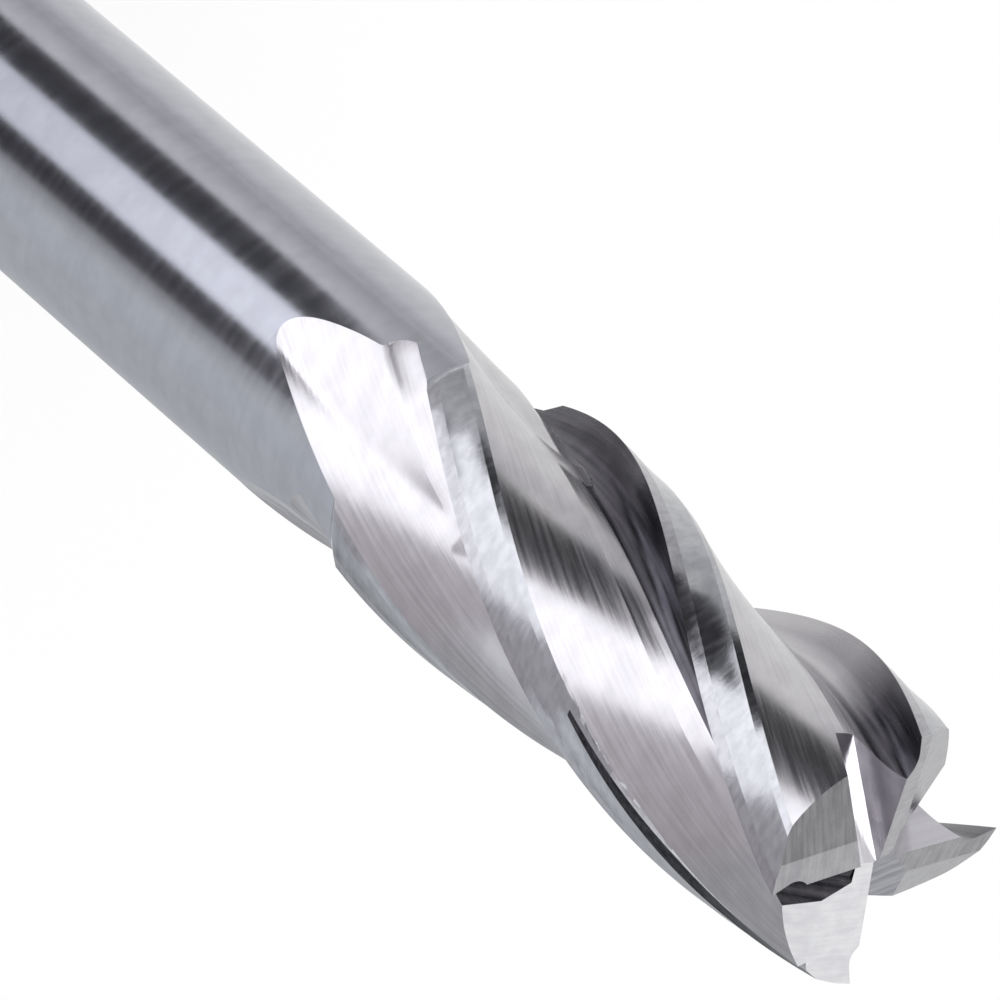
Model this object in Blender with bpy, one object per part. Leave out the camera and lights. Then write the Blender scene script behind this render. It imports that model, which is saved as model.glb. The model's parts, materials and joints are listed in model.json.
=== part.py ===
"""Square end mill with four right-hand flutes, ground from one bar of high speed steel.

It stands on the end of its shank: the axis is +Z, z = 0 is the shank's end face and the
end teeth are at the top. Lengths are in metres and angles in degrees. A tooth's own frame
has X outward through its cutting edge and Y ahead of it, the way that the tool turns, and
a depth is measured down from the tip.
"""
import math
from collections import namedtuple

import bmesh
import bpy
from mathutils import Matrix, Vector

# Turned blank
OVERALL_LENGTH = 0.083
CUTTER_DIAMETER = 0.013
SHANK_DIAMETER = 0.012
CUTTER_LENGTH = 0.0301          # from the tip to the start of the shoulder
SHOULDER_ANGLE = 30.0           # of the shoulder's cone, to the axis
SHANK_CHAMFER = 0.0007

# Flutes, as cut across the axis
TEETH = 4
HELIX_ANGLE = 30.0
CORE_DIAMETER = 0.00834
RAKE_ANGLE = 14.0
GULLET_RADIUS = 0.00115
GULLET_END = 12.5               # angle ahead of the edge where the gullet's arc stops
BACK_START = 26.0               # angle ahead of the edge where the back starts
BACK_RISE = 0.00025             # of the flute's floor above the core, at that place
BACK_BOW = 0.00016              # of the back, off a straight line

# Lands behind the cutting edge, with their relief from the edge's tangent
PRIMARY_WIDTH = 0.00064
PRIMARY_RELIEF = 10.0
SECONDARY_WIDTH = 0.00149
SECONDARY_RELIEF = 19.0
HEEL_WIDTH = 0.0004
HEEL_RELIEF = 38.0

# Run-out, where the grinding wheel leaves the blank
FULL_DEPTH_LENGTH = 0.024       # of the flutes, from the tip
RUN_OUT_ANGLE = 13.1            # of the ramp on which the flute's floor rises
RUN_OUT_EASE = 0.0015           # length over which the ramp sets in
RUN_OUT_LAG = 0.0142            # how much lower the ramp starts at the heel
RUN_OUT_LAG_POWER = 1.5         # by which that grows from the edge to the heel

# End teeth, which fall towards the axis and are ground one by one
DISH_ANGLE = 1.5
END_RELIEF = 11.0
GASH_ANGLE = 37.5               # slope of the gash's floor, outward and down
GASH_WIDTH = 0.00084

# For each end tooth: its land's width and the clearance behind that, then the gash ahead of it,
# with the place where it starts, how far its near wall stands ahead of the tooth's line there,
# the wall's turn back to the line, and the lean of the far wall from the axis
EndTooth = namedtuple("EndTooth", "land clearance start ahead turn lean")
END_TEETH = (
    EndTooth(0.0026, 28.0, -0.0002, -0.00047, -5.2, 55.0),
    EndTooth(0.0013, 28.0, 0.0006, 0.00004, 0.0, 56.0),
    EndTooth(0.0009, 24.0, -0.0001, 0.0003, 2.0, 30.0),
    EndTooth(0.0013, 22.0, 0.0013, 0.0, 0.0, 45.0),
)
RELIEF_GAP = 0.00005            # from a relief's inner end to the gash wall of the tooth behind
RELIEF_LEAD = 0.0006            # how far a relief's cutter starts ahead of the tooth's line

# Facets
ROW_STEP = 0.00125              # along the axis, at full depth
RUN_OUT_STEP = 0.00068          # along the axis, where the flutes run out
COLUMN_STEP = 6.0               # around the axis
ARC_STEP = 15.0                 # around the gullet's arc
CREASE_ANGLE = 16.0             # facets that meet at more make a sharp line
CUTTER_MARGIN = 0.001           # how far the end cutters reach past the blank
OUTLINE_TRIES = 12              # places that are tried on each side of the flute's section
MOUTH_GAP = 0.1                 # least share of a side from the mouth to the next corner
LAND_GAP = 1.0                  # least angle from the mouth to the next column on the land
CLOSING_SHARES = (0.04, 0.16, 0.36, 0.64)    # of a step, for the last rings of a flute

EDGE_RADIUS = CUTTER_DIAMETER / 2
SHANK_RADIUS = SHANK_DIAMETER / 2
CORE_RADIUS = CORE_DIAMETER / 2
PITCH = 360.0 / TEETH
LEAD = math.pi * CUTTER_DIAMETER / math.tan(math.radians(HELIX_ANGLE))
SHOULDER_SLOPE = math.tan(math.radians(SHOULDER_ANGLE))
SHOULDER_END = CUTTER_LENGTH + abs(EDGE_RADIUS - SHANK_RADIUS) / SHOULDER_SLOPE


def clear_scene():
    for item in list(bpy.data.objects):
        bpy.data.objects.remove(item, do_unlink=True)


def new_collection(name):
    collection = bpy.data.collections.new(name)
    bpy.context.scene.collection.children.link(collection)
    return collection


def tangent(angle):
    return math.tan(math.radians(angle))


def polar(radius, angle):
    return Vector((radius * math.cos(math.radians(angle)), radius * math.sin(math.radians(angle))))


def angle_of(point):
    return math.degrees(math.atan2(point.y, point.x))


def bisect(function, low, high):
    """The place between low, where the function is positive, and high, where it isn't."""
    for _ in range(40):
        middle = (low + high) / 2
        if function(middle) > 0:
            low = middle
        else:
            high = middle
    return (low + high) / 2


def land_points():
    """Edge, the ends of the primary and secondary lands, and heel, in a tooth's frame."""
    points = [Vector((EDGE_RADIUS, 0.0))]
    for width, relief in zip((PRIMARY_WIDTH, SECONDARY_WIDTH, HEEL_WIDTH), LAND_RELIEFS):
        points.append(points[-1] + polar(width, -90.0 - relief))
    return points


LAND_RELIEFS = (PRIMARY_RELIEF, SECONDARY_RELIEF, HEEL_RELIEF)
LAND_POINTS = land_points()
HEEL_AHEAD = PITCH + angle_of(LAND_POINTS[-1])   # from an edge on to the next tooth's heel


def land_radius(behind):
    """Distance from the axis to the ground lands, at an angle behind the cutting edge."""
    for start, end, relief in zip(LAND_POINTS, LAND_POINTS[1:], LAND_RELIEFS):
        if behind <= -angle_of(end):
            break
    if behind >= 90.0 + relief:
        return math.inf
    nearest = start.length * math.cos(math.radians(-angle_of(start) - relief))
    return nearest / math.cos(math.radians(behind - relief))


def blank_radius(depth):
    if depth <= CUTTER_LENGTH:
        return EDGE_RADIUS
    if depth >= SHOULDER_END:
        return SHANK_RADIUS
    share = (depth - CUTTER_LENGTH) / (SHOULDER_END - CUTTER_LENGTH)
    return EDGE_RADIUS + share * (SHANK_RADIUS - EDGE_RADIUS)


def outer_radius(ahead, depth):
    """Blank with its lands, which leave the metal past the end of the cutter."""
    rise = max(0.0, depth - CUTTER_LENGTH) * SHOULDER_SLOPE
    return min(blank_radius(depth), land_radius(-ahead % PITCH) + rise)


def floor_rise(ahead, depth):
    """How far the flute's floor has risen on its run-out."""
    lag = RUN_OUT_LAG * (max(0.0, ahead) / HEEL_AHEAD) ** RUN_OUT_LAG_POWER
    past = depth - FULL_DEPTH_LENGTH - lag
    if past <= 0:
        return 0.0
    return tangent(RUN_OUT_ANGLE) * past * past / (past + RUN_OUT_EASE)


def gullet_arc():
    """Points of the arc that touches the rake face and the core."""
    edge = LAND_POINTS[0]
    inward = polar(1.0, 180.0 + RAKE_ANGLE)
    ahead = polar(1.0, 90.0 + RAKE_ANGLE)
    start = edge + GULLET_RADIUS * ahead
    reach = (CORE_RADIUS + GULLET_RADIUS) ** 2 - start.length_squared + start.dot(inward) ** 2
    centre = start - (start.dot(inward) + math.sqrt(reach)) * inward
    ray = polar(1.0, GULLET_END)
    middle = centre.dot(ray)
    end = (middle - math.sqrt(middle ** 2 - centre.length_squared + GULLET_RADIUS ** 2)) * ray
    first = RAKE_ANGLE - 90.0
    sweep = (first - angle_of(end - centre)) % 360.0
    count = math.ceil(sweep / ARC_STEP)
    return [centre + polar(GULLET_RADIUS, first - sweep * i / count) for i in range(count + 1)]


def flute_outline():
    """Section of a flute, from one edge to the next tooth's heel and on past both."""
    edge = LAND_POINTS[0]
    arc = gullet_arc()
    back = polar(CORE_RADIUS + BACK_RISE, BACK_START)
    heel = polar(LAND_POINTS[-1].length, HEEL_AHEAD)
    points = [edge, edge.lerp(arc[0], 0.5)] + arc + [arc[-1].lerp(back, 0.5)]
    count = math.ceil((HEEL_AHEAD - BACK_START) / COLUMN_STEP)
    outward = Vector((heel.y - back.y, back.x - heel.x)).normalized()
    for i in range(count + 1):
        share = i / count
        points.append(back.lerp(heel, share) + BACK_BOW * 4 * share * (1 - share) * outward)
    return [2 * edge - points[1]] + points + [2 * heel - points[-2]]


OUTLINE = flute_outline()


def outline_point(place):
    """A point of the flute's section, whose corners are at whole places."""
    first = min(int(place), len(OUTLINE) - 2)
    return OUTLINE[first].lerp(OUTLINE[first + 1], place - first)


def cover(place, depth):
    """How far the flute lies below the blank's surface, positive where it cuts."""
    point = outline_point(place)
    ahead = angle_of(point)
    return outer_radius(ahead, depth) - point.length - floor_rise(ahead, depth)


def flute_mouth(depth):
    """Places where the flute comes out of the metal, on its edge's side and its heel's."""
    last = OUTLINE_TRIES * (len(OUTLINE) - 1)
    cut = [i for i in range(last + 1) if cover(i / OUTLINE_TRIES, depth) > 0]
    if not cut:
        return None
    ends = ((cut[0], cut[0] - 1), (cut[-1], cut[-1] + 1))
    return [bisect(lambda place: cover(place, depth), inside / OUTLINE_TRIES, outside / OUTLINE_TRIES)
            for inside, outside in ends]


def flute_end():
    """Depth at which a flute closes on the shank, and the place where it does."""
    depth = bisect(lambda at: 1 if flute_mouth(at) else 0, FULL_DEPTH_LENGTH, OVERALL_LENGTH)
    near, far = flute_mouth(depth - RUN_OUT_STEP / 1000)
    return depth, (near + far) / 2


def ring_depths(end_depth):
    """Depths of the rings, closer together where the flutes run out and close."""
    marks = sorted({0.0, FULL_DEPTH_LENGTH, CUTTER_LENGTH, SHOULDER_END, end_depth})
    depths = [0.0]
    for start, end in zip(marks, marks[1:]):
        step = ROW_STEP if end <= FULL_DEPTH_LENGTH else RUN_OUT_STEP
        if start == CUTTER_LENGTH:
            step = RUN_OUT_STEP / 2
        count = math.ceil((end - start) / step)
        depths += [start + (end - start) * i / count for i in range(1, count + 1)]
    return sorted(depths + [end_depth - RUN_OUT_STEP * share for share in CLOSING_SHARES])


def land_columns():
    """Angles ahead of an edge of the columns from the next tooth's heel on."""
    lines = [PITCH + angle_of(point) for point in LAND_POINTS]
    middle = (lines[1] + lines[2]) / 2
    count = math.ceil(HEEL_AHEAD / COLUMN_STEP)
    return sorted(lines + [middle] + [PITCH + HEEL_AHEAD * i / count for i in range(1, count)])


def make_ring(mesh, depth, end):
    """One ring around the tool: for each tooth a run across its flute and one on over the land.

    A run is a list of places and vertices, and runs that meet share a vertex.
    """
    turn = -360.0 * depth / LEAD
    end_depth, end_place = end
    places = [end_place]
    if depth < end_depth:
        near, far = flute_mouth(depth)
        corners = range(1, len(OUTLINE) - 1)
        between = [i for i in corners if near + MOUTH_GAP < i < far - MOUTH_GAP]
        places = [near] + between + [far]

    def vertex(radius, angle):
        spot = polar(radius, angle + turn)
        return mesh.verts.new((spot.x, spot.y, OVERALL_LENGTH - depth))

    flutes = []
    for tooth in range(TEETH):
        run = []
        for place in places:
            point = outline_point(place)
            ahead = angle_of(point)
            radius = min(point.length + floor_rise(ahead, depth), outer_radius(ahead, depth))
            run.append((place, vertex(radius, ahead + tooth * PITCH)))
        flutes.append(run)
    lands = []
    start = angle_of(outline_point(places[-1]))
    stop = PITCH + angle_of(outline_point(places[0]))
    for tooth in range(TEETH):
        run = [(start, flutes[tooth][-1][1])]
        for ahead in land_columns():
            if start + LAND_GAP < ahead < stop - LAND_GAP:
                run.append((ahead, vertex(outer_radius(ahead, depth), ahead + tooth * PITCH)))
        lands.append(run + [(stop, flutes[(tooth + 1) % TEETH][0][1])])
    return flutes, lands


def stitch(mesh, upper, lower):
    """Facets between two runs, taken in the order of their places."""
    i = 0
    j = 0
    while i + 1 < len(upper) or j + 1 < len(lower):
        if j + 1 == len(lower) or (i + 1 < len(upper) and upper[i + 1][0] <= lower[j + 1][0]):
            mesh.faces.new((lower[j][1], upper[i + 1][1], upper[i][1]))
            i += 1
        else:
            mesh.faces.new((lower[j][1], lower[j + 1][1], upper[i][1]))
            j += 1


def ring_loop(ring):
    """A ring's vertices, once around."""
    flutes, lands = ring
    loop = []
    for flute, land in zip(flutes, lands):
        loop += [vertex for _, vertex in flute] + [vertex for _, vertex in land[1:-1]]
    return loop


def shank_loop(mesh, above, depth, radius):
    """A plain circle under the loop above, joined to it."""
    below = []
    for vertex in above:
        spot = vertex.co.xy.normalized() * radius
        below.append(mesh.verts.new((spot.x, spot.y, OVERALL_LENGTH - depth)))
    count = len(above)
    for i in range(count):
        following = (i + 1) % count
        mesh.faces.new((below[i], below[following], above[following], above[i]))
    return below


def fluted_body(material, collection):
    """Blank with its flutes and lands, lofted from ring to ring along the helix."""
    mesh = bmesh.new()
    end = flute_end()
    rings = [make_ring(mesh, depth, end) for depth in ring_depths(end[0])]
    for above, below in zip(rings, rings[1:]):
        for kind in range(2):
            for upper, lower in zip(above[kind], below[kind]):
                stitch(mesh, upper, lower)
    mesh.faces.new(ring_loop(rings[0]))
    loop = shank_loop(mesh, ring_loop(rings[-1]), OVERALL_LENGTH - SHANK_CHAMFER, SHANK_RADIUS)
    loop = shank_loop(mesh, loop, OVERALL_LENGTH, SHANK_RADIUS - SHANK_CHAMFER)
    mesh.faces.new(reversed(loop))
    body = add_object("end_mill", mesh, collection)
    body.data.materials.append(material)
    return body


def add_object(name, mesh, collection):
    data = bpy.data.meshes.new(name)
    mesh.to_mesh(data)
    mesh.free()
    item = bpy.data.objects.new(name, data)
    collection.objects.link(item)
    return item


def loft_cutter(name, sections, tooth, collection):
    """A closed body through sections of equal count, in a tooth's frame at the tip."""
    mesh = bmesh.new()
    loops = [[mesh.verts.new(point) for point in section] for section in sections]
    for one, other in zip(loops, loops[1:]):
        for i in range(len(one)):
            following = (i + 1) % len(one)
            mesh.faces.new((one[i], other[i], other[following], one[following]))
    mesh.faces.new(loops[0])
    mesh.faces.new(reversed(loops[-1]))
    bmesh.ops.recalc_face_normals(mesh, faces=mesh.faces[:])
    bmesh.ops.triangulate(mesh, faces=mesh.faces[:])
    cutter = add_object(name, mesh, collection)
    turn = Matrix.Rotation(math.radians(tooth * PITCH), 4, "Z")
    cutter.matrix_world = Matrix.Translation((0, 0, OVERALL_LENGTH)) @ turn
    cutter.hide_render = True
    cutter.display_type = "WIRE"
    return cutter


def edge_height(outward):
    """Height of an end cutting edge, which falls towards the axis, from the tip's plane."""
    return (outward - EDGE_RADIUS) * tangent(DISH_ANGLE)


def end_tooth(tooth):
    return END_TEETH[tooth % len(END_TEETH)]


def end_relief_cutter(tooth, collection):
    """Leaves the land and the clearance behind an end cutting edge."""
    grind = end_tooth(tooth)
    far = EDGE_RADIUS + CUTTER_MARGIN
    sections = []
    for outward in (max(0.0, end_tooth(tooth - 1).ahead) + RELIEF_GAP, far):
        section = []
        for ahead in (RELIEF_LEAD, -grind.land, -far):
            land = tangent(END_RELIEF) * max(ahead, -grind.land)
            clearance = tangent(grind.clearance) * min(0.0, ahead + grind.land)
            section.append((outward, ahead, edge_height(outward) + land + clearance))
        top = [(outward, ahead, CUTTER_MARGIN) for ahead in (-far, RELIEF_LEAD)]
        sections.append(section + top)
    return loft_cutter(f"end_relief_{tooth + 1}", sections, tooth, collection)


def gash_cutter(tooth, collection):
    """Opens the space ahead of an end cutting edge, from its start out to the flute."""
    grind = end_tooth(tooth)

    def floor(outward, ahead):
        fall = tangent(END_RELIEF) * (ahead + grind.start)
        return edge_height(0.0) - fall - tangent(GASH_ANGLE) * (outward - grind.start)

    sections = []
    for outward in (grind.start, EDGE_RADIUS + CUTTER_MARGIN):
        near = grind.ahead - tangent(grind.turn) * (outward - grind.start)
        wide = near + GASH_WIDTH
        spread = (CUTTER_MARGIN - floor(outward, wide)) * tangent(grind.lean)
        sections.append([(outward, near, CUTTER_MARGIN),
                         (outward, near, floor(outward, near)),
                         (outward, wide, floor(outward, wide)),
                         (outward, wide + spread, CUTTER_MARGIN)])
    return loft_cutter(f"gash_{tooth + 1}", sections, tooth, collection)


def grind_end(body, collection):
    for tooth in range(TEETH):
        end_relief_cutter(tooth, collection)
        gash_cutter(tooth, collection)
    cut = body.modifiers.new("end teeth", "BOOLEAN")
    cut.operation = "DIFFERENCE"
    cut.operand_type = "COLLECTION"
    cut.collection = collection
    cut.solver = "EXACT"


def ground_steel():
    material = bpy.data.materials.new("ground high speed steel")
    material.use_nodes = True
    shader = material.node_tree.nodes["Principled BSDF"]
    shader.inputs["Base Color"].default_value = (0.52, 0.51, 0.55, 1.0)
    shader.inputs["Metallic"].default_value = 1.0
    shader.inputs["Roughness"].default_value = 0.28
    return material


def main():
    clear_scene()
    tool = new_collection("end_mill")
    cutters = new_collection("cutters")
    body = fluted_body(ground_steel(), tool)
    body.data.shade_smooth()
    body.data.set_sharp_from_angle(angle=math.radians(CREASE_ANGLE))
    grind_end(body, cutters)


main()
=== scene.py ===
import json
import math
from functools import lru_cache

import bmesh
import bpy
from mathutils import Matrix, Quaternion, Vector

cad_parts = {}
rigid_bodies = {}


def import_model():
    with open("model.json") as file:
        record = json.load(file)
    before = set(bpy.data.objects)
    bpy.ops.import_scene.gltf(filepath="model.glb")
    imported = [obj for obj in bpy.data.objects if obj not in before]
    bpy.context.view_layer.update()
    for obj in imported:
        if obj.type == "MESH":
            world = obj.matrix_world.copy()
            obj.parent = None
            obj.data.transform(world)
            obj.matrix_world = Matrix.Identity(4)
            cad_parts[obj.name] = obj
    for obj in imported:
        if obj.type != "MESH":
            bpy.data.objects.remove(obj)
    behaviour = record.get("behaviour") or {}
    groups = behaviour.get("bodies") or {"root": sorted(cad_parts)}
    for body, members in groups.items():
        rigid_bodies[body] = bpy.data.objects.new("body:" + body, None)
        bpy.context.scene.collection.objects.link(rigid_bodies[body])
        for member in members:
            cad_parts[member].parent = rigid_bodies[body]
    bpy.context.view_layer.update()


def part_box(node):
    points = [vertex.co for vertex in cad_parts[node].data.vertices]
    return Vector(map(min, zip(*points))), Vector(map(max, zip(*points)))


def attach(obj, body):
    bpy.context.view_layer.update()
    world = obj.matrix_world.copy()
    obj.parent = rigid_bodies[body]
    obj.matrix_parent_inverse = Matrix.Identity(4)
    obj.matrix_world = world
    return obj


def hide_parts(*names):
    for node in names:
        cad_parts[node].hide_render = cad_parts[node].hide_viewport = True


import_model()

# A four-flute square end mill, stood on its shank's end. Lengths below are in millimetres.
mm = 0.001
low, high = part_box("end_mill")
scene = bpy.context.scene

# The blank: its length and its cutter's diameter come from the frame
blank = {
    "length": (high.z - low.z) / mm,
    "cutterRadius": (high.x - low.x) / 2 / mm,
    "shankRadius": 6.0,
    "cutterLength": 30.1,          # from the tip to the shoulder
    "shoulderAngle": 30.0,
    "chamfer": 0.7,
}

# The section of a flute, in angles ahead of its cutting edge
flute = {
    "teeth": 4,
    "helixAngle": 30.0,
    "coreRadius": 4.17,
    "rakeAngle": 14.0,
    "gulletRadius": 1.15,
    "gulletEnd": 12.5,
    "backStart": 26.0,
    "backRise": 0.25,              # of the floor above the core where the back starts
    "backBow": 0.16,
    "rakeSteps": 6,
    "arcStep": 6.0,
    "backStep": 1.6,
}

# Lands behind a cutting edge: width and relief of each, from the edge on
lands = [(0.64, 10.0), (1.3, 19.0), (0.19, 19.0), (0.4, 38.0)]

# One heel is bevelled towards the tip: its lands there, and the depths where that starts and is complete
bevel = {
    "tooth": 0,
    "lands": [(0.64, 10.0), (1.0, 19.0), (0.8, 40.0), (0.45, 72.0)],
    "start": 15.5,
    "full": 7.0,
}

# Where the wheel leaves the blank and the flute runs out
runOut = {
    "fullDepth": 24.0,
    "angle": 13.1,
    "ease": 1.5,
    "lag": 14.2,                   # how much lower the ramp starts at the heel
    "lagPower": 1.5,
    "lagFrom": 15.4,               # angle ahead of the edge up to which the ramp starts together
    "fillStart": 20.5,             # depths over which the gullet flattens out ahead of the ramp
    "fillEnd": 25.0,
    "fillDepth": 0.45,
}

# Distances between the rings of the mesh, and between columns on the lands
mesh = {
    "row": 0.3,
    "runOutRow": 0.13,
    "shankRow": 1.5,
    "column": 2.0,
    "bridgeSteps": 8,              # facets from the gullet's arc to the back
    "mouthGap": 0.1,               # steps of the section left out beside the flute's mouth
    "landGap": 0.5,                # degrees of the land left out beside it
    "slack": 0.01,                 # degrees by which a land reaches past its heel
    "closing": (0.04, 0.16, 0.36, 0.64),      # shares of a row for the last rings of the run-out
    "crease": 9.0,                 # angle from which an edge is sharp
}

# All end teeth
dish = 1.5
endRelief = 11.0
gashAngle = 37.5
gashWidth = 0.84
reliefGap = 0.05                     # from the wall of the gash behind to where a tooth's relief starts
reliefLead = 0.6                     # how far ahead of its edge the relief starts

# End teeth, ground one by one: the land's width and the clearance behind it, then the gash that
# opens each tooth: where it starts, how far its wall stands ahead there, its turn and its lean.
# Last come the finishes of the tooth's top and of its gash; the duller end faces and the dark gash have
# painted shade in their colours
endTeeth = [
    {"land": 2.6, "clearance": 28.0, "start": -0.2, "ahead": -0.47, "turn": -5.2, "lean": 55.0,
     "top": "endFace", "gash": "gash"},
    {"land": 1.3, "clearance": 28.0, "start": 0.6, "ahead": 0.04, "turn": 0.0, "lean": 56.0,
     "top": "dullShadedEndFace", "gash": "gash"},
    {"land": 0.9, "clearance": 24.0, "start": -0.1, "ahead": 0.30, "turn": 2.0, "lean": 30.0,
     "top": "endFace", "gash": "gash"},
    {"land": 1.3, "clearance": 22.0, "start": 1.3, "ahead": 0.0, "turn": 0.0, "lean": 45.0,
     "top": "dullShadedEndFace", "gash": "darkGash"},
]

pitch = 360.0 / flute["teeth"]
lead = 2 * math.pi * blank["cutterRadius"] / math.tan(math.radians(flute["helixAngle"]))
slantShare = 1 / math.cos(math.radians(flute["helixAngle"]))      # length along a flute, per length of axis
shoulderSlope = math.tan(math.radians(blank["shoulderAngle"]))
shoulderEnd = blank["cutterLength"] + (blank["cutterRadius"] - blank["shankRadius"]) / shoulderSlope

# Material slots of the tool's mesh, some with painted shade in their colours, and where some of them begin
finishesAndShades = ["shank", "flute", "gullet", "fadingGullet", "margin", "relief", "heel", "heelEdge",
            "endFace", "dullShadedEndFace", "gash", "darkGash"]
fadingTooth = 2                      # whose gullet has painted shade near the tip only
heelFrom = 0.15                      # share of the bevel from which the heel has its own finish
heelEdgeFrom = 0.5                   # and from which its edge has
shoulderOverlap = 0.25               # how far a land's finish reaches past the cutter's length
flattened = 0.02                     # rise of the gullet's floor from which its painted shade gives way to the flute's finish


def tangent(angle):
    return math.tan(math.radians(angle))


def polar(radius, angle):
    return Vector((radius * math.cos(math.radians(angle)), radius * math.sin(math.radians(angle))))


def angleOf(point):
    return math.degrees(math.atan2(point.y, point.x))


def halve(function, low, high):      # place where function stops being positive, from low to high
    for _ in range(30):
        middle = (low + high) / 2
        if function(middle) > 0:
            low = middle
        else:
            high = middle
    return (low + high) / 2


def makeLandPoints(rows):
    points = [Vector((blank["cutterRadius"], 0.0))]
    for width, relief in rows:
        points.append(points[-1] + polar(width, -90.0 - relief))
    return points


landPoints = makeLandPoints(lands)
bevelPoints = makeLandPoints(bevel["lands"])
heelAhead = pitch + angleOf(landPoints[-1])


def bevelShare(tooth, depth):
    if tooth % flute["teeth"] != bevel["tooth"]:
        return 0.0
    return min(1.0, max(0.0, (bevel["start"] - depth) / (bevel["start"] - bevel["full"])))


@lru_cache(maxsize=None)
def landCorners(share):              # of the lands behind an edge whose heel is bevelled by a share
    return [plain.lerp(bevelled, share) for plain, bevelled in zip(landPoints, bevelPoints)]


@lru_cache(maxsize=None)
def landLines(share):
    return [pitch + angleOf(point) for point in landCorners(share)]


def landRadius(behind, share):
    corners = landCorners(share)
    for start, end in zip(corners, corners[1:]):
        if behind <= -angleOf(end):
            break
    return start.cross(end) / polar(1.0, -behind).cross(end - start)


def blankRadius(depth):
    share = (depth - blank["cutterLength"]) / (shoulderEnd - blank["cutterLength"])
    share = min(1.0, max(0.0, share))
    return blank["cutterRadius"] + share * (blank["shankRadius"] - blank["cutterRadius"])


def outerRadius(ahead, depth, share):         # the blank with its lands ground down
    behind = -ahead % pitch
    if behind > pitch - landLines(share)[-1] + mesh["slack"]:
        return blankRadius(depth)
    return min(blankRadius(depth), landRadius(behind, share))


def floorRise(ahead, depth):         # how far the flute's floor has climbed on its run-out
    lagged = max(runOut["lagFrom"], ahead) / heelAhead
    past = depth - runOut["fullDepth"] - runOut["lag"] * lagged ** runOut["lagPower"]
    if past <= 0:
        return 0.0
    return tangent(runOut["angle"]) * past * past / (past + runOut["ease"])


def gulletArc():                     # touches the rake face and the core
    radius = flute["gulletRadius"]
    inward = polar(1.0, 180.0 + flute["rakeAngle"])
    start = landPoints[0] + radius * polar(1.0, 90.0 + flute["rakeAngle"])
    reach = (flute["coreRadius"] + radius) ** 2 - start.length_squared + start.dot(inward) ** 2
    centre = start - (start.dot(inward) + math.sqrt(reach)) * inward
    ray = polar(1.0, flute["gulletEnd"])
    middle = centre.dot(ray)
    end = (middle - math.sqrt(middle ** 2 - centre.length_squared + radius ** 2)) * ray
    first = flute["rakeAngle"] - 90.0
    sweep = (first - angleOf(end - centre)) % 360.0
    count = math.ceil(sweep / flute["arcStep"])
    return [centre + polar(radius, first - sweep * i / count) for i in range(count + 1)]


backStart = polar(flute["coreRadius"] + flute["backRise"], flute["backStart"])


def fluteOutline():                  # rake face, gullet, bridge and back, and one point beyond each end
    edge = landPoints[0]
    arc = gulletArc()
    heel = polar(landPoints[-1].length, heelAhead)
    points = [edge.lerp(arc[0], i / flute["rakeSteps"]) for i in range(flute["rakeSteps"])] + arc
    points += [arc[-1].lerp(backStart, i / mesh["bridgeSteps"]) for i in range(1, mesh["bridgeSteps"])]
    count = math.ceil((heelAhead - flute["backStart"]) / flute["backStep"])
    outward = Vector((heel.y - backStart.y, backStart.x - heel.x)).normalized()
    for i in range(count + 1):
        share = i / count
        points.append(backStart.lerp(heel, share) + flute["backBow"] * 4 * share * (1 - share) * outward)
    return [2 * edge - points[1]] + points + [2 * heel - points[-2]]


outline = fluteOutline()
gulletPlace = flute["rakeSteps"] + len(gulletArc())      # where the gullet's arc ends
backPlace = gulletPlace + mesh["bridgeSteps"]            # where the back starts
outlineRun = [0.0]                   # length along the section, for the grinding pattern
for one, other in zip(outline, outline[1:]):
    outlineRun.append(outlineRun[-1] + (other - one).length)


def outlinePoint(place):             # whole places are the section's corners
    first = min(int(place), len(outline) - 2)
    return outline[first].lerp(outline[first + 1], place - first)


def runAt(place):
    first = min(int(place), len(outline) - 2)
    return outlineRun[first] + (outlineRun[first + 1] - outlineRun[first]) * (place - first)


backTangent = (outline[backPlace + 1] - outline[backPlace]).normalized()
backNormal = Vector((backTangent.y, -backTangent.x))


def floorRadius(place, depth):       # the flute's surface, whose gullet flattens where it runs out
    point = outlinePoint(place)
    ahead = angleOf(point)
    if place >= backPlace:
        return point.length + floorRise(ahead, depth)
    share = (depth - runOut["fillStart"]) / (runOut["fillEnd"] - runOut["fillStart"])
    share = min(1.0, max(0.0, share))
    flat = backNormal.dot(backStart) / backNormal.dot(polar(1.0, ahead))
    return max(point.length, flat - runOut["fillDepth"] * (1 - share) + floorRise(ahead, depth))


def cover(place, depth, share):      # how far the flute lies under the blank's surface
    return outerRadius(angleOf(outlinePoint(place)), depth, share) - floorRadius(place, depth)


def fluteMouth(depth, share=0.0):
    tries = 2 * (len(outline) - 1)
    cut = [i for i in range(tries + 1) if cover(i / 2, depth, share) > 0]
    if not cut:
        return None
    ends = ((cut[0], cut[0] - 1), (cut[-1], cut[-1] + 1))
    return [halve(lambda place: cover(place, depth, share), inside / 2, outside / 2)
            for inside, outside in ends]


def ringDepths(endDepth):
    marks = sorted({0.0, runOut["fullDepth"], blank["cutterLength"], shoulderEnd, endDepth})
    depths = [0.0]
    for start, end in zip(marks, marks[1:]):
        step = mesh["row"] if end <= runOut["fullDepth"] else mesh["runOutRow"]
        count = math.ceil((end - start) / step)
        depths += [start + (end - start) * i / count for i in range(1, count + 1)]
    closing = [endDepth - mesh["runOutRow"] * share for share in mesh["closing"]]
    return sorted(depths + closing)


def landColumns(share):
    lines = landLines(share)
    columns = list(lines)
    for start, end in zip(lines[::-1], lines[-2::-1]):
        count = math.ceil((end - start) / mesh["column"])
        columns += [start + (end - start) * i / count for i in range(1, count)]
    count = math.ceil(heelAhead / mesh["column"])
    return sorted(columns + [pitch + heelAhead * i / count for i in range(1, count)])


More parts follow.
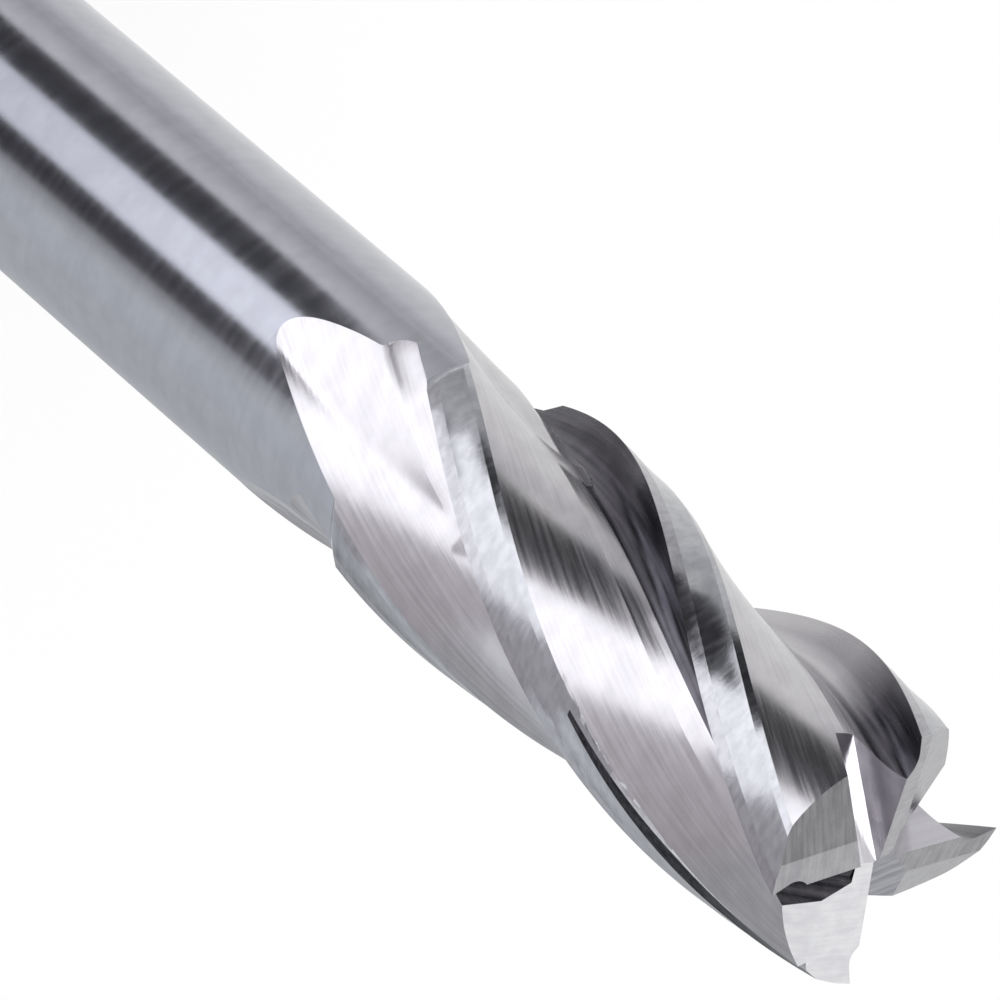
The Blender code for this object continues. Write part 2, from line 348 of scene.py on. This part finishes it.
def makeRing(tool, depth, end):
    # For each tooth a run across its flute and one on over the land, which share their end vertices
    turn = -360.0 * depth / lead
    endDepth, endPlace = end

    def vertex(radius, angle):
        spot = polar(radius, angle + turn) * mm
        return tool.verts.new((spot.x, spot.y, (blank["length"] - depth) * mm))

    flutes = []
    for tooth in range(flute["teeth"]):
        share = bevelShare(tooth + 1, depth)
        places = [endPlace]
        if depth < endDepth:
            near, far = fluteMouth(depth, share)
            inner, outer = near + mesh["mouthGap"], far - mesh["mouthGap"]
            between = [i for i in range(1, len(outline) - 1) if inner < i < outer]
            places = [near] + between + [far]
        run = []
        for place in places:
            ahead = angleOf(outlinePoint(place))
            radius = min(floorRadius(place, depth), outerRadius(ahead, depth, share))
            at = (runAt(place) * mm, depth * slantShare * mm)
            run.append((place, vertex(radius, ahead + tooth * pitch), at))
        flutes.append(run)
    landRuns = []
    for tooth in range(flute["teeth"]):
        share = bevelShare(tooth + 1, depth)
        following = flutes[(tooth + 1) % flute["teeth"]]
        start = angleOf(outlinePoint(flutes[tooth][-1][0]))
        stop = pitch + angleOf(outlinePoint(following[0][0]))

        def entry(ahead, corner):
            across = math.radians(ahead + tooth * pitch) * blank["cutterRadius"] * mm
            return (ahead, corner, (across, depth * slantShare * mm))

        run = [entry(start, flutes[tooth][-1][1])]
        for ahead in landColumns(share):
            if start + mesh["landGap"] < ahead < stop - mesh["landGap"]:
                radius = outerRadius(ahead, depth, share)
                run.append(entry(ahead, vertex(radius, ahead + tooth * pitch)))
        landRuns.append(run + [entry(stop, following[0][1])])
    return flutes, landRuns


def landFinish(ahead, depth, share):  # which finish a facet of the land has
    if depth > blank["cutterLength"] + (shoulderOverlap if ahead > heelAhead else 0.0):
        return finishesAndShades.index("shank")
    names = ["margin", "relief", "heel" if share > heelFrom else "relief",
             "heelEdge" if share > heelEdgeFrom else "relief"]
    for line, name in zip(landLines(share)[1:], names):
        if ahead > line:
            return finishesAndShades.index(name)
    return finishesAndShades.index("shank")


def fluteFinishAndShade(place, depth, tooth):         # the gullet's painted shade ends where it flattens out
    if place > gulletPlace or floorRadius(place, depth) > outlinePoint(place).length + flattened:
        return finishesAndShades.index("flute")
    return finishesAndShades.index("fadingGullet" if tooth == fadingTooth else "gullet")


def addFacet(tool, grain, entries, finishAndShade):
    facet = tool.faces.new([corner for place, corner, at in entries])
    facet.material_index = finishAndShade
    facet.smooth = True
    for loop, (place, corner, at) in zip(facet.loops, entries):
        loop[grain].uv = at


def stitch(tool, grain, upper, lower, finishAndShadeAt):
    i = 0
    j = 0
    while i + 1 < len(upper) or j + 1 < len(lower):
        if j + 1 == len(lower) or (i + 1 < len(upper) and upper[i + 1][0] <= lower[j + 1][0]):
            entries = (lower[j], upper[i + 1], upper[i])
            i += 1
        else:
            entries = (lower[j], lower[j + 1], upper[i])
            j += 1
        addFacet(tool, grain, entries, finishAndShadeAt(sum(entry[0] for entry in entries) / 3))


def ringLoop(ring):
    flutes, landRuns = ring
    loop = []
    for fluteRun, landRun in zip(flutes, landRuns):
        loop += [entry[1] for entry in fluteRun] + [entry[1] for entry in landRun[1:-1]]
    return loop


def addShankRows(tool, grain, above, depthAbove):
    # Plain rows of the shank under the last ring, then its chamfer and its end face
    bottom = blank["length"] - blank["chamfer"]
    count = math.ceil((bottom - depthAbove) / mesh["shankRow"])
    step = (bottom - depthAbove) / count
    rows = [(depthAbove + step * i, blank["shankRadius"]) for i in range(1, count + 1)]
    rows.append((blank["length"], blank["shankRadius"] - blank["chamfer"]))
    girth = blank["shankRadius"] * mm
    for depth, radius in rows:
        below = []
        for corner in above:
            spot = corner.co.xy.normalized() * radius * mm
            below.append(tool.verts.new((spot.x, spot.y, (blank["length"] - depth) * mm)))
        for i in range(len(above)):
            following = (i + 1) % len(above)
            corners = (below[i], below[following], above[following], above[i])
            facet = tool.faces.new(corners)
            facet.smooth = True
            turns = [math.atan2(corner.co.y, corner.co.x) for corner in corners]
            turns = [turn if turn - turns[0] > -math.pi else turn + 2 * math.pi for turn in turns]
            turns = [turn if turn - turns[0] < math.pi else turn - 2 * math.pi for turn in turns]
            for loop, turn, corner in zip(facet.loops, turns, corners):
                loop[grain].uv = (turn * girth, blank["length"] * mm - corner.co.z)
        above = below
    tool.faces.new(reversed(above))


def flutedTool():
    tool = bmesh.new()
    grain = tool.loops.layers.uv.new("grain")
    endDepth = halve(lambda at: 1 if fluteMouth(at) else 0, runOut["fullDepth"], blank["length"])
    near, far = fluteMouth(endDepth - mesh["runOutRow"] / 1000)
    end = (endDepth, (near + far) / 2)
    depths = ringDepths(endDepth)
    rings = [makeRing(tool, depth, end) for depth in depths]
    for above, below, top, bottom in zip(rings, rings[1:], depths, depths[1:]):
        middle = (top + bottom) / 2
        for tooth, (upper, lower) in enumerate(zip(above[0], below[0])):
            stitch(tool, grain, upper, lower, lambda place: fluteFinishAndShade(place, middle, tooth))
        for tooth, (upper, lower) in enumerate(zip(above[1], below[1])):
            share = bevelShare(tooth + 1, middle)
            stitch(tool, grain, upper, lower, lambda ahead: landFinish(ahead, middle, share))
    tip = tool.faces.new(ringLoop(rings[0]))
    tip.material_index = finishesAndShades.index("endFace")
    addShankRows(tool, grain, ringLoop(rings[-1]), depths[-1])
    return addObject("endMill", tool)


def addObject(name, shape):
    data = bpy.data.meshes.new(name)
    shape.to_mesh(data)
    shape.free()
    for steel in steels:
        data.materials.append(steel)
    item = bpy.data.objects.new(name, data)
    scene.collection.objects.link(item)
    return item


# End cutters, in a tooth's own frame: x outward through its edge, y ahead of it, z up from the tip
cutterReach = blank["cutterRadius"] + 1.0
cutterTop = 1.0


def edgeHeight(outward):
    return (outward - blank["cutterRadius"]) * tangent(dish)


def loftCutter(name, sections, tooth, finishAndShade):
    cutter = bmesh.new()
    grain = cutter.loops.layers.uv.new("grain")
    loops = [[cutter.verts.new(Vector(point) * mm) for point in section] for section in sections]
    for one, other in zip(loops, loops[1:]):
        for i in range(len(one)):
            following = (i + 1) % len(one)
            cutter.faces.new((one[i], other[i], other[following], one[following]))
    cutter.faces.new(loops[0])
    cutter.faces.new(reversed(loops[-1]))
    bmesh.ops.recalc_face_normals(cutter, faces=cutter.faces[:])
    bmesh.ops.triangulate(cutter, faces=cutter.faces[:])
    for facet in cutter.faces:
        facet.material_index = finishesAndShades.index(finishAndShade)
        for loop in facet.loops:
            loop[grain].uv = (loop.vert.co.y, loop.vert.co.x)
    item = addObject(name, cutter)
    turn = Matrix.Rotation(math.radians(tooth * pitch), 4, "Z")
    item.matrix_world = Matrix.Translation((0, 0, blank["length"] * mm)) @ turn
    return item


def gashWall(row, outward):          # how far ahead of the tooth's line its gash's near wall stands
    return row["ahead"] - tangent(row["turn"]) * (outward - row["start"])


def endReliefCutter(tooth):
    row = endTeeth[tooth]
    behind = endTeeth[tooth - 1]
    sections = []
    for outward in (max(0.0, behind["ahead"]) + reliefGap, cutterReach):
        section = []
        for ahead in (reliefLead, -row["land"], -cutterReach):
            height = edgeHeight(outward) + tangent(endRelief) * max(ahead, -row["land"])
            height += tangent(row["clearance"]) * min(0.0, ahead + row["land"])
            section.append((outward, ahead, height))
        sections.append(section + [(outward, -cutterReach, cutterTop), (outward, reliefLead, cutterTop)])
    return loftCutter(f"endRelief{tooth}", sections, tooth, row["top"])


def gashCutter(tooth):
    row = endTeeth[tooth]

    def floor(outward, ahead):
        fall = tangent(endRelief) * (ahead + row["start"]) + tangent(gashAngle) * (outward - row["start"])
        return edgeHeight(0.0) - fall

    sections = []
    for outward in (row["start"], cutterReach):
        near = gashWall(row, outward)
        wide = near + gashWidth
        spread = (cutterTop - floor(outward, wide)) * tangent(row["lean"])
        sections.append([(outward, near, cutterTop), (outward, near, floor(outward, near)),
                         (outward, wide, floor(outward, wide)), (outward, wide + spread, cutterTop)])
    return loftCutter(f"gash{tooth}", sections, tooth, row["gash"])


def grindEnd(tool):
    cutters = bpy.data.collections.new("endCutters")
    for tooth in range(flute["teeth"]):
        for cutter in (endReliefCutter(tooth), gashCutter(tooth)):
            scene.collection.objects.unlink(cutter)
            cutters.objects.link(cutter)
    scene.collection.children.link(cutters)
    cut = tool.modifiers.new("endTeeth", "BOOLEAN")
    cut.operation = "DIFFERENCE"
    cut.operand_type = "COLLECTION"
    cut.collection = cutters
    cut.solver = "EXACT"
    cut.material_mode = "INDEX"
    ready = bpy.data.meshes.new_from_object(tool.evaluated_get(bpy.context.evaluated_depsgraph_get()))
    tool.modifiers.clear()
    tool.data = ready
    for cutter in list(cutters.objects):
        bpy.data.objects.remove(cutter, do_unlink=True)
    bpy.data.collections.remove(cutters)
    ready.shade_smooth()
    ready.set_sharp_from_angle(angle=math.radians(mesh["crease"]))


# Colours are sRGB hex, turned to linear here
def linear(code):
    parts = [int(code[i:i + 2], 16) / 255 for i in (1, 3, 5)]
    return tuple(p / 12.92 if p <= 0.04045 else ((p + 0.055) / 1.055) ** 2.4 for p in parts) + (1.0,)


def addNode(tree, kind, settings=None, links=None):
    node = tree.nodes.new(kind)
    for name, value in (settings or {}).items():
        if isinstance(name, str) and hasattr(node, name):
            setattr(node, name, value)
        else:
            node.inputs[name].default_value = value
    for name, source in (links or {}).items():
        tree.links.new(source, node.inputs[name])
    return node


def newMaterial(name):
    material = bpy.data.materials.new(name)
    material.use_nodes = True
    return material, material.node_tree, material.node_tree.nodes["Principled BSDF"]


def grainNoise(tree, across, along, detail=3.0):      # noise on the grinding pattern, sizes in mm
    uv = addNode(tree, "ShaderNodeUVMap", {"uv_map": "grain"})
    scale = (1 / (across * mm), 1 / (along * mm), 1.0)
    place = addNode(tree, "ShaderNodeVectorMath", {"operation": "MULTIPLY", 1: scale}, {0: uv.outputs["UV"]})
    noise = addNode(tree, "ShaderNodeTexNoise", {"noise_dimensions": "2D", "Scale": 1.0, "Detail": detail},
                    {"Vector": place.outputs[0]})
    return noise.outputs["Fac"]


def spread(tree, source, low, high, lowTo, highTo):   # source from low to high becomes lowTo to highTo
    node = addNode(tree, "ShaderNodeMapRange",
                   {"From Min": low, "From Max": high, "To Min": lowTo, "To Max": highTo}, {"Value": source})
    return node.outputs["Result"]


streakRange = (0.3, 0.7)             # of the noise, where streaks go from dark to light
patchRange = (0.35, 0.65)


def groundSteel(look):
    material, tree, shader = newMaterial(look["name"])
    lines = grainNoise(tree, *look["lines"])
    streaks = grainNoise(tree, *look["streaks"])
    patches = grainNoise(tree, look["patch"], look["patch"], 2.0)
    speck = grainNoise(tree, look["speck"], look["speck"], 1.0)
    shade = addNode(tree, "ShaderNodeMath", {"operation": "ADD"}, {
        0: spread(tree, streaks, *streakRange, 0.0, look["streakShade"]),
        1: spread(tree, patches, *patchRange, 0.0, 1.0 - look["streakShade"])}).outputs[0]
    shades = {"data_type": "RGBA", 6: linear(look["dark"]), 7: linear(look["light"])}
    colour = addNode(tree, "ShaderNodeMix", shades, {0: shade})
    if "fade" in look:               # along the flute, to another colour, so that a gullet's painted shade fades out
        start, end, other = look["fade"]
        uv = addNode(tree, "ShaderNodeUVMap", {"uv_map": "grain"})
        along = addNode(tree, "ShaderNodeSeparateXYZ", {}, {0: uv.outputs["UV"]})
        colour = addNode(tree, "ShaderNodeMix", {"data_type": "RGBA", 7: linear(other)}, {
            0: spread(tree, along.outputs["Y"], start * mm, end * mm, 0.0, 1.0), 6: colour.outputs[2]})
    tree.links.new(colour.outputs[2], shader.inputs["Base Color"])
    tree.links.new(spread(tree, streaks, *streakRange, *look["roughness"]), shader.inputs["Roughness"])
    shader.inputs["Metallic"].default_value = 1.0
    if look["anisotropic"]:
        shader.inputs["Anisotropic"].default_value = look["anisotropic"]
        across = addNode(tree, "ShaderNodeTangent", {"direction_type": "UV_MAP", "uv_map": "grain"})
        tree.links.new(across.outputs[0], shader.inputs["Tangent"])
    fine = addNode(tree, "ShaderNodeBump", {"Strength": 1.0, "Distance": look["lineDepth"] * mm},
                   {"Height": lines})
    rough = addNode(tree, "ShaderNodeBump", {"Strength": 1.0, "Distance": look["speckDepth"] * mm},
                    {"Height": speck, "Normal": fine.outputs[0]})
    tree.links.new(rough.outputs[0], shader.inputs["Normal"])
    return material


# Camera, at the photo's own place: 412 mm from the tool, with a long lens
view = {
    "aim": (-0.744, 0.628, 55.477),
    "azimuth": -130.1526,
    "elevation": 35.5575,
    "roll": 130.6645,
    "distance": 412.492,
    "lens": 336.633,
}


def addCamera():
    data = bpy.data.cameras.new("camera")
    camera = bpy.data.objects.new("camera", data)
    scene.collection.objects.link(camera)
    flat = math.cos(math.radians(view["elevation"]))
    back = Vector((math.cos(math.radians(view["azimuth"])) * flat,
                   math.sin(math.radians(view["azimuth"])) * flat, math.sin(math.radians(view["elevation"]))))
    camera.location = (Vector(view["aim"]) + back * view["distance"]) * mm
    camera.rotation_mode = "QUATERNION"
    roll = Quaternion((0, 0, 1), math.radians(view["roll"]))
    camera.rotation_quaternion = (-back).to_track_quat("-Z", "Y") @ roll
    data.lens = view["lens"]
    data.sensor_width = 36.0
    data.clip_start = 0.01
    data.clip_end = 100.0
    scene.camera = camera


print("camera")
addCamera()

print("tool")
# High speed steel, ground all over: a bright, slightly warm grey that shows its surroundings. Sizes are in
# mm: (across the grain, along it) for lines and streaks, one size for patches and specks. A wheel leaves
# lines 0.01 to 0.02 mm wide. They are drawn 0.06 mm wide or more, because finer ones don't show
# Some looks below have painted shade in their colours: the gullets, the dark gash and the duller end faces
steelLooks = {
    "shank": {                       # frosted: reflections have soft, grainy edges
        "name": "cylindrically ground high speed steel, lightly frosted",
        "light": "#bdbec4", "dark": "#b4b5bb", "roughness": (0.17, 0.21), "anisotropic": 0.0,
        "lines": (3.0, 0.09), "lineDepth": 0.0002, "streaks": (6.0, 0.5), "streakShade": 0.4,
        "patch": 1.4, "speck": 0.07, "speckDepth": 0.0009,
    },
    "flute": {                       # long scratches draw each reflection out along the flute
        "name": "high speed steel, ground along the flute",
        "light": "#d0ced1", "dark": "#bcbabd", "roughness": (0.18, 0.25), "anisotropic": 0.5,
        "lines": (0.06, 4.0), "lineDepth": 0.0009, "streaks": (0.2, 6.0), "streakShade": 0.6,
        "patch": 1.6, "speck": 0.12, "speckDepth": 0.0006,
    },
    "gullet": {                      # coarse scratches in the shade of the flute; the nearly black colour is painted shade and painted reflection of dark surroundings
        "name": "high speed steel, gullet ground coarser",
        "light": "#6a686e", "dark": "#46444a", "roughness": (0.2, 0.28), "anisotropic": 0.5,
        "lines": (0.07, 5.0), "lineDepth": 0.0014, "streaks": (0.22, 7.0), "streakShade": 0.7,
        "patch": 1.6, "speck": 0.14, "speckDepth": 0.0007,
    },
    "margin": {                      # faint rings, and small patches that catch the light
        "name": "high speed steel, margin ground around",
        "light": "#b4b4b8", "dark": "#9f9fa3", "roughness": (0.14, 0.2), "anisotropic": 0.0,
        "lines": (2.5, 0.08), "lineDepth": 0.0005, "streaks": (1.5, 0.3), "streakShade": 0.4,
        "patch": 0.6, "speck": 0.13, "speckDepth": 0.0013,
    },
    "relief": {                      # as the margin, a little smoother
        "name": "high speed steel, relief ground around",
        "light": "#b8b9bd", "dark": "#a6a7ab", "roughness": (0.14, 0.2), "anisotropic": 0.0,
        "lines": (2.5, 0.08), "lineDepth": 0.0005, "streaks": (1.5, 0.3), "streakShade": 0.4,
        "patch": 0.7, "speck": 0.13, "speckDepth": 0.001,
    },
    "heel": {                        # a near black line with bright specks
        "name": "high speed steel, heel bevel, near black with bright specks",
        "light": "#5c5d61", "dark": "#2c2c30", "roughness": (0.16, 0.26), "anisotropic": 0.0,
        "lines": (0.3, 1.5), "lineDepth": 0.001, "streaks": (0.25, 1.6), "streakShade": 0.6,
        "patch": 0.3, "speck": 0.12, "speckDepth": 0.003,
    },
    "heelEdge": {                    # a light line beside it
        "name": "high speed steel, bevel's rounded edge",
        "light": "#dadbdf", "dark": "#b0b1b6", "roughness": (0.2, 0.28), "anisotropic": 0.0,
        "lines": (0.3, 2.0), "lineDepth": 0.001, "streaks": (0.3, 2.5), "streakShade": 0.6,
        "patch": 0.5, "speck": 0.12, "speckDepth": 0.001,
    },
    "endFace": {                     # pale, with fine lines across the tooth
        "name": "high speed steel, end relief ground across",
        "light": "#cbcbcd", "dark": "#bababe", "roughness": (0.2, 0.28), "anisotropic": 0.0,
        "lines": (3.0, 0.07), "lineDepth": 0.0009, "streaks": (2.5, 0.2), "streakShade": 0.6,
        "patch": 0.8, "speck": 0.12, "speckDepth": 0.0006,
    },
    "gash": {                        # bright, with streaks that run outward
        "name": "high speed steel, gash ground outward",
        "light": "#dedce0", "dark": "#b4b2b7", "roughness": (0.14, 0.2), "anisotropic": 0.0,
        "lines": (0.25, 5.0), "lineDepth": 0.006, "streaks": (0.3, 5.0), "streakShade": 0.8,
        "patch": 0.8, "speck": 0.14, "speckDepth": 0.0005,
    },
    "darkGash": {                    # a deep one that the light doesn't reach, nearly black
        "name": "high speed steel, deep gash ground outward",
        "light": "#565459", "dark": "#29282c", "roughness": (0.2, 0.3), "anisotropic": 0.0,
        "lines": (0.25, 5.0), "lineDepth": 0.002, "streaks": (0.3, 5.0), "streakShade": 0.6,
        "patch": 0.5, "speck": 0.14, "speckDepth": 0.0005,
    },
}
steelLooks["fadingGullet"] = {       # as the gullet's painted shade near the tip, fading to pale further up
    **steelLooks["gullet"], "name": "high speed steel, gullet ground coarser near the tip",
    "fade": (5.0, 9.5, "#bdbbbe"),
}
steelLooks["dullShadedEndFace"] = {        # as the end face, softer, and greyer with painted shade
    **steelLooks["endFace"], "name": "high speed steel, end relief ground duller",
    "light": "#b4b4b6", "dark": "#9e9ea2", "roughness": (0.24, 0.32),
}
steels = [groundSteel(steelLooks[finishAndShade]) for finishAndShade in finishesAndShades]
tool = flutedTool()
print("end teeth")
grindEnd(tool)
print("triangles", sum(len(p.vertices) - 2 for p in tool.data.polygons))
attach(tool, "root")
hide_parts("end_mill")


def addFloor():                      # white paper: matt, so that it only holds the tool's shadow
    bpy.ops.mesh.primitive_plane_add(size=8.0, location=(0, 0, 0))
    floor = bpy.context.object
    floor.name = "floor"
    material, tree, shader = newMaterial("white paper floor")
    shader.inputs["Base Color"].default_value = linear("#ffffff")
    shader.inputs["Roughness"].default_value = 0.9
    floor.data.materials.append(material)


# Cards around the tool, which only its reflections see. Each lies on a cone that rises outward. A row is
# its distance from the axis, the azimuths that the shank sees at its two ends, and the light at each end
cardSlope = 20.0
cardColumns = 24
cards = {
    "pale card, left": ("#ffffff", [
        (12, 40, 120, 0.95, 0.88), (100, 40, 120, 0.95, 0.88), (130, 40, 120, 0.66, 0.88),
        (260, 40, 120, 0.66, 0.88)]),
    "grey card, left": ("#fcfcff", [
        (12, 120, 138, 0.88, 0.52), (100, 120, 136, 0.88, 0.6)]),
    "pale card, middle left": ("#fcfcff", [
        (12, 138, 171, 0.52, 1.0), (46, 138, 171, 0.52, 1.0), (50, 138, 186, 0.52, 0.8),
        (60, 138, 186, 0.6, 0.8), (61.5, 138, 177, 0.6, 0.9), (73, 138, 176, 0.6, 0.9),
        (75, 138, 160, 0.6, 0.7), (80, 138, 150, 0.6, 0.8)]),
    "dark card, left": ("#f4f4ff", [
        (12, 170, 201, 0.07, 0.07), (46, 170, 203, 0.07, 0.05), (50, 186, 203, 0.07, 0.05),
        (60, 186, 203, 0.07, 0.05), (61.5, 177, 178, 0.4, 0.5), (73, 176, 178, 0.4, 0.5),
        (75, 160, 178, 0.07, 0.05), (78, 150, 178, 0.05, 0.05), (80, 149, 200, 0.05, 0.05),
        (88, 146, 198, 0.05, 0.05), (95, 142, 190, 0.05, 0.05), (105, 136, 187, 0.05, 0.05),
        (130, 132, 184, 0.05, 0.05), (150, 132, 180, 0.06, 0.05), (200, 132, 174, 0.06, 0.05),
        (260, 132, 170, 0.06, 0.05)]),
    "lit card, near": ("#f5f6ff", [
        (12, 201, 241, 1.0, 1.0), (28, 201, 241, 1.15, 1.15), (40, 201, 241, 1.5, 1.4),
        (52, 203, 241, 1.6, 1.5)]),
    "lit card, far": ("#fbfbff", [
        (52, 203, 276, 1.9, 1.9), (60, 203, 276, 2.0, 1.9), (61.5, 178, 276, 2.0, 1.9),
        (68, 178, 268, 2.0, 1.8), (78, 178, 257, 2.0, 1.8), (80, 200, 254, 2.0, 1.8),
        (88, 198, 247, 2.0, 1.8), (95, 190, 243, 2.0, 1.8), (105, 187, 240, 2.0, 1.8),
        (120, 185, 236, 2.0, 1.8), (150, 180, 230, 2.0, 1.8), (200, 174, 226, 2.0, 1.8),
        (260, 170, 222, 2.0, 1.8)]),
    "dark card, right": ("#f4f0ff", [
        (12, 241, 264, 0.03, 0.08), (52, 241, 264, 0.03, 0.08)]),
    "grey card, right": ("#fafcff", [
        (12, 264, 283, 0.4, 0.8), (52, 264, 283, 0.4, 0.8)]),
    "pale card, right": ("#f6faff", [
        (12, 283, 310, 0.8, 0.78), (60, 283, 310, 0.8, 0.78)]),
    "grey card, far right": ("#faf6fc", [
        (52, 276, 305, 0.7, 0.7), (62, 276, 305, 0.7, 0.7), (68, 268, 305, 0.7, 0.7),
        (75, 259, 305, 0.7, 0.66), (90, 245, 305, 0.7, 0.6), (105, 240, 305, 0.7, 0.5),
        (120, 236, 305, 0.7, 0.5), (150, 230, 305, 0.7, 0.5), (200, 226, 305, 0.7, 0.5),
        (260, 222, 305, 0.7, 0.5)]),
    "grey card, back": ("#f8fbff", [
        (12, 310, 400, 0.76, 0.58), (60, 310, 400, 0.76, 0.58), (62, 305, 400, 0.5, 0.5),
        (70, 305, 400, 0.5, 0.5), (76, 303, 400, 1.1, 0.5), (86, 303, 400, 1.1, 0.5),
        (92, 305, 400, 0.5, 0.5), (260, 305, 400, 0.45, 0.5)]),
}


def cardAzimuth(seen, distance):     # where a ray that the shank throws to an azimuth passes a distance
    camera = view["azimuth"] + 360.0
    normal = (seen + camera) / 2
    offset = blank["shankRadius"] * math.sin(math.radians(normal - seen)) / distance
    return seen + math.degrees(math.asin(offset))


def addCard(name, colour, rows):
    shape = bmesh.new()
    light = shape.verts.layers.float.new("light")
    lines = []
    for distance, start, end, startLight, endLight in rows:
        line = []
        for i in range(cardColumns + 1):
            share = i / cardColumns
            spot = polar(distance, cardAzimuth(start + (end - start) * share, distance))
            corner = shape.verts.new(Vector((spot.x, spot.y, distance * tangent(cardSlope))) * mm)
            corner[light] = startLight + (endLight - startLight) * share
            line.append(corner)
        lines.append(line)
    for inner, outer in zip(lines, lines[1:]):
        for i in range(cardColumns):
            shape.faces.new((inner[i], inner[i + 1], outer[i + 1], outer[i]))
    addStageLight(name, colour, shape)


def addStageLight(name, colour, shape):
    data = bpy.data.meshes.new(name)
    shape.to_mesh(data)
    shape.free()
    card = bpy.data.objects.new(name, data)
    scene.collection.objects.link(card)
    material, tree, shader = newMaterial(name)
    shader.inputs["Base Color"].default_value = linear("#000000")
    shader.inputs["Roughness"].default_value = 1.0
    shader.inputs["Specular IOR Level"].default_value = 0.0
    shader.inputs["Emission Color"].default_value = linear(colour)
    level = addNode(tree, "ShaderNodeAttribute", {"attribute_name": "light"})
    tree.links.new(level.outputs["Fac"], shader.inputs["Emission Strength"])
    data.materials.append(material)
    card.visible_camera = False
    card.visible_diffuse = False
    card.visible_shadow = False
    card.visible_transmission = False


# Panels overhead, for the end teeth: azimuths, elevations and light of each
panelDistance = 500.0                # mm from the tip
overhead = {
    "lit panel": ("#ffffff", (208, 240), (46, 70), 5.0),
    "dark panel": ("#ffffff", (192, 208), (30, 52), 0.05),
    "soft panel": ("#ffffff", (-20, 52), (33, 75), 1.35),
    "grey panel": ("#ffffff", (72, 110), (30, 70), 0.5),
    "grey panel, low": ("#ffffff", (30, 72), (3, 30), 0.7),
}


def addPanel(name, colour, azimuths, elevations, level):
    shape = bmesh.new()
    light = shape.verts.layers.float.new("light")
    corners = []
    for azimuth, elevation in zip(azimuths + azimuths[::-1], [elevations[0]] * 2 + [elevations[1]] * 2):
        spot = polar(panelDistance * math.cos(math.radians(elevation)), azimuth)
        height = blank["length"] + panelDistance * math.sin(math.radians(elevation))
        corners.append(shape.verts.new(Vector((spot.x, spot.y, height)) * mm))
        corners[-1][light] = level
    shape.faces.new(corners)
    addStageLight(name, colour, shape)


print("floor and cards")
addFloor()
for name, (colour, rows) in cards.items():
    addCard(name, colour, rows)
for name, (colour, azimuths, elevations, level) in overhead.items():
    addPanel(name, colour, azimuths, elevations, level)

world = bpy.data.worlds.new("studio")
scene.world = world
world.use_nodes = True
world.node_tree.nodes["Background"].inputs["Color"].default_value = linear("#ffffff")
world.node_tree.nodes["Background"].inputs["Strength"].default_value = 1.0

scene.view_settings.view_transform = "Standard"
